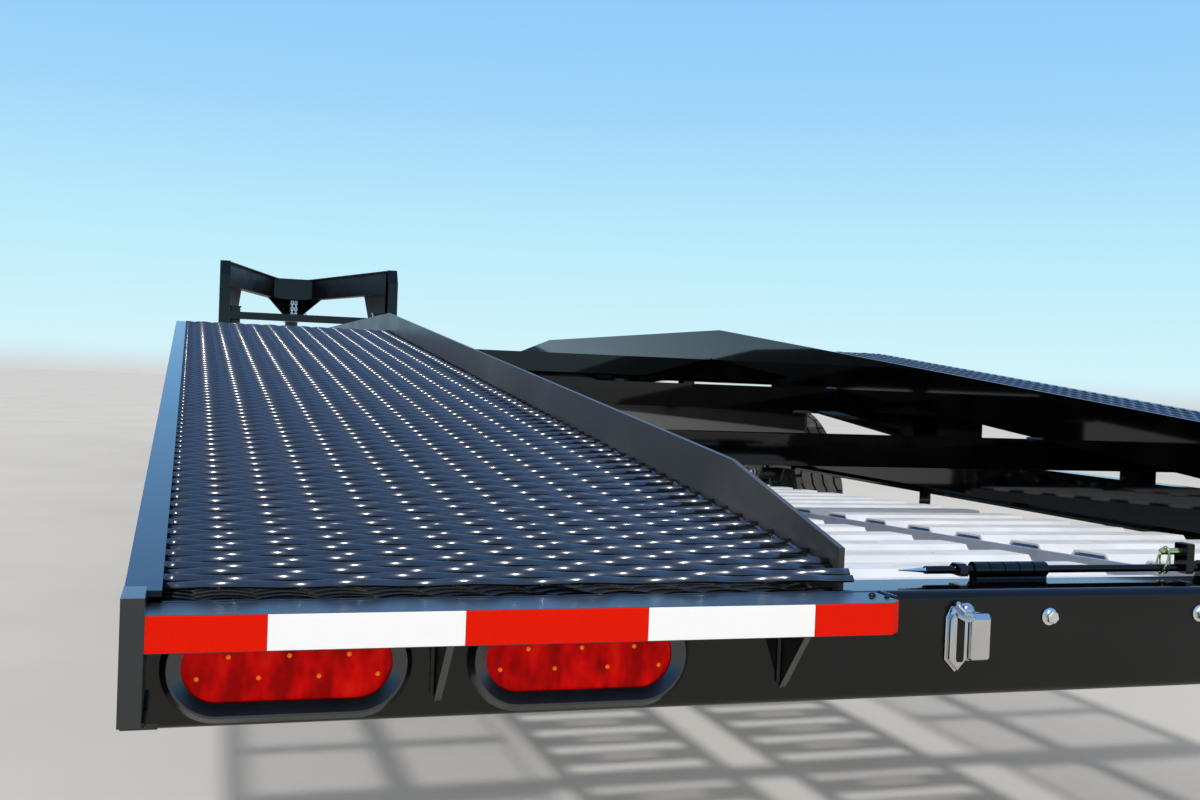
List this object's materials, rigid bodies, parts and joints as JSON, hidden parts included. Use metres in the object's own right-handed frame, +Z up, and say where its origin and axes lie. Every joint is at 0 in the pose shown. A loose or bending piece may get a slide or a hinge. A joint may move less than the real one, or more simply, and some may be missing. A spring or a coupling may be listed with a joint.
{
  "type": "gooseneck car hauler trailer",
  "caption": "Wedge gooseneck car hauler trailer with open expanded-metal runways, tandem axles, stowed ladder ramps and drop-leg jacks.",
  "frame": {"origin": "on the ground under the middle of the bounding box", "axes": "+X to the trailer's right, +Y forward to the coupler, +Z up"},
  "size_m": [2.446, 15.588, 1.95],
  "materials": {
    "amber_lens": "gloss",
    "frame_black": "gloss",
    "lamp_chrome": "polished",
    "lamp_rubber": "matt",
    "ramp_aluminium": "bright mill",
    "red_lens": "gloss",
    "running_gear_black": "satin",
    "tread_black": "satin gloss",
    "tyre_rubber": "matt",
    "wheel_steel": "silver paint",
    "zinc_steel": "zinc plated"
  },
  "bodies": {
    "chassis": {"axles": "running_gear_black", "ball_coupler": "zinc_steel", "carrier_straps": "frame_black", "cross_tubes": "frame_black", "deck_stringers": "frame_black", "equalizers": "running_gear_black", "frame_posts": "frame_black", "hook_lips": "frame_black", "inner_rail_left": "frame_black", "inner_rail_right": "frame_black", "jack_gears": "zinc_steel", "jack_legs": "zinc_steel", "jack_tubes": "frame_black", "keeper_barrels": "frame_black", "knee_gussets": "frame_black", "lamp_grommets": "lamp_rubber", "leaf_springs": "running_gear_black", "main_beam_left": "frame_black", "main_beam_right": "frame_black", "marker_lamps": "amber_lens", "neck_beam_left": "frame_black", "neck_beam_right": "frame_black", "neck_cross_bars": "frame_black", "neck_head": "frame_black", "neck_uprights": "frame_black", "outer_rail_left": "frame_black", "outer_rail_right": "frame_black", "plate_lamp": "lamp_chrome", "ramp_carriers": "frame_black", "ramp_left": "ramp_aluminium", "ramp_right": "ramp_aluminium", "rear_beam": "frame_black", "rear_markers": "red_lens", "runway_ribs": "frame_black", "safety_chains": "zinc_steel", "shackles": "running_gear_black", "spring_hangers": "running_gear_black", "tail_lamps": "red_lens", "tail_rail_left": "frame_black", "tail_rail_right": "frame_black", "tread_left": "tread_black", "tread_right": "tread_black"},
    "wheel_rear_left_body": {"wheel_rear_left": "wheel_steel", "tyre_rear_left": "tyre_rubber"},
    "wheel_rear_right_body": {"wheel_rear_right": "wheel_steel", "tyre_rear_right": "tyre_rubber"},
    "wheel_front_left_body": {"wheel_front_left": "wheel_steel", "tyre_front_left": "tyre_rubber"},
    "wheel_front_right_body": {"wheel_front_right": "wheel_steel", "tyre_front_right": "tyre_rubber"},
    "keeper_left_body": {"keeper_left": "frame_black"},
    "keeper_right_body": {"keeper_right": "frame_black"}
  },
  "joints": [
    {"name": "spin_rear_left", "type": "hinge", "parent": "chassis", "child": "wheel_rear_left_body", "pos_m": [-1.0515, -4.099, 0.402], "axis": [1, 0, 0], "continuous": true},
    {"name": "spin_rear_right", "type": "hinge", "parent": "chassis", "child": "wheel_rear_right_body", "pos_m": [1.0515, -4.099, 0.402], "axis": [1, 0, 0], "continuous": true},
    {"name": "spin_front_left", "type": "hinge", "parent": "chassis", "child": "wheel_front_left_body", "pos_m": [-1.0515, -3.234, 0.402], "axis": [1, 0, 0], "continuous": true},
    {"name": "spin_front_right", "type": "hinge", "parent": "chassis", "child": "wheel_front_right_body", "pos_m": [1.0515, -3.234, 0.402], "axis": [1, 0, 0], "continuous": true},
    {"name": "swing_keeper_left", "type": "hinge", "parent": "chassis", "child": "keeper_left_body", "pos_m": [-0.319, -7.673, 0.7205], "axis": [-1, 0, 0], "range_deg": [0, 95]},
    {"name": "swing_keeper_right", "type": "hinge", "parent": "chassis", "child": "keeper_right_body", "pos_m": [0.319, -7.673, 0.7205], "axis": [-1, 0, 0], "range_deg": [0, 95]}
  ]
}
